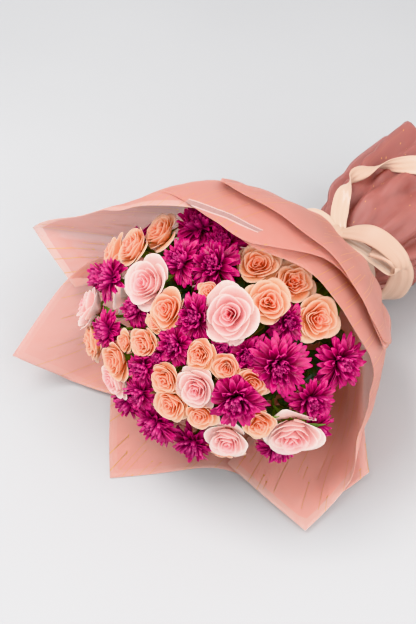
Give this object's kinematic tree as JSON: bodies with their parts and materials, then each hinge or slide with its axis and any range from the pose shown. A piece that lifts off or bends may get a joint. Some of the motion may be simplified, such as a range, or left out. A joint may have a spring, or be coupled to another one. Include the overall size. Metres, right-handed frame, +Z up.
{
  "type": "mixed flower bouquet",
  "caption": "Mixed bouquet lying down: magenta chrysanthemums, pink garden roses and peach spray roses in layered blush film, tied with a cream satin ribbon.",
  "frame": {"origin": "the point of the resting plane under the middle of the flower dome, on the underside of the lowest film sheet", "axes": "+Z up from the surface that the bouquet lies on, +Y along the stems from the flowers to the cut ends, X across"},
  "size_m": [0.5166, 0.602, 0.3297],
  "materials": {
    "magenta_petals": "soft matte petals, paler at their backs",
    "pink_petals": "velvety petals, pink at the heart and cream at the rim",
    "peach_petals": "velvety petals, orange at the heart and pale at the rim",
    "green_stems": "waxy green skin",
    "pink_film": "translucent frosted film",
    "twine": "rough fibre",
    "satin_ribbon": "satin"
  },
  "bodies": {
    "root": {"binding_twine": "twine", "chrysanthemum_01": "magenta_petals", "chrysanthemum_02": "magenta_petals", "chrysanthemum_03": "magenta_petals", "chrysanthemum_04": "magenta_petals", "chrysanthemum_05": "magenta_petals", "chrysanthemum_06": "magenta_petals", "chrysanthemum_07": "magenta_petals", "chrysanthemum_08": "magenta_petals", "chrysanthemum_09": "magenta_petals", "chrysanthemum_10": "magenta_petals", "chrysanthemum_11": "magenta_petals", "chrysanthemum_12": "magenta_petals", "chrysanthemum_13": "magenta_petals", "chrysanthemum_14": "magenta_petals", "chrysanthemum_15": "magenta_petals", "chrysanthemum_16": "magenta_petals", "chrysanthemum_17": "magenta_petals", "chrysanthemum_18": "magenta_petals", "chrysanthemum_19": "magenta_petals", "chrysanthemum_20": "magenta_petals", "chrysanthemum_21": "magenta_petals", "film_front_inner": "pink_film", "film_front_middle": "pink_film", "film_front_outer": "pink_film", "film_left_lower": "pink_film", "film_left_upper": "pink_film", "film_under": "pink_film", "ribbon_band": "satin_ribbon", "ribbon_bow": "satin_ribbon", "rose_01": "pink_petals", "rose_02": "pink_petals", "rose_03": "pink_petals", "rose_04": "pink_petals", "rose_05": "pink_petals", "rose_06": "pink_petals", "rose_07": "pink_petals", "rose_08": "pink_petals", "spray_rose_01": "peach_petals", "spray_rose_02": "peach_petals", "spray_rose_03": "peach_petals", "spray_rose_04": "peach_petals", "spray_rose_05": "peach_petals", "spray_rose_06": "peach_petals", "spray_rose_07": "peach_petals", "spray_rose_08": "peach_petals", "spray_rose_09": "peach_petals", "spray_rose_10": "peach_petals", "spray_rose_11": "peach_petals", "spray_rose_12": "peach_petals", "spray_rose_13": "peach_petals", "spray_rose_14": "peach_petals", "spray_rose_15": "peach_petals", "spray_rose_16": "peach_petals", "stems_1": "green_stems", "stems_2": "green_stems", "stems_3": "green_stems", "stems_4": "green_stems", "stems_5": "green_stems", "stems_6": "green_stems"}
  },
  "joints": []
}
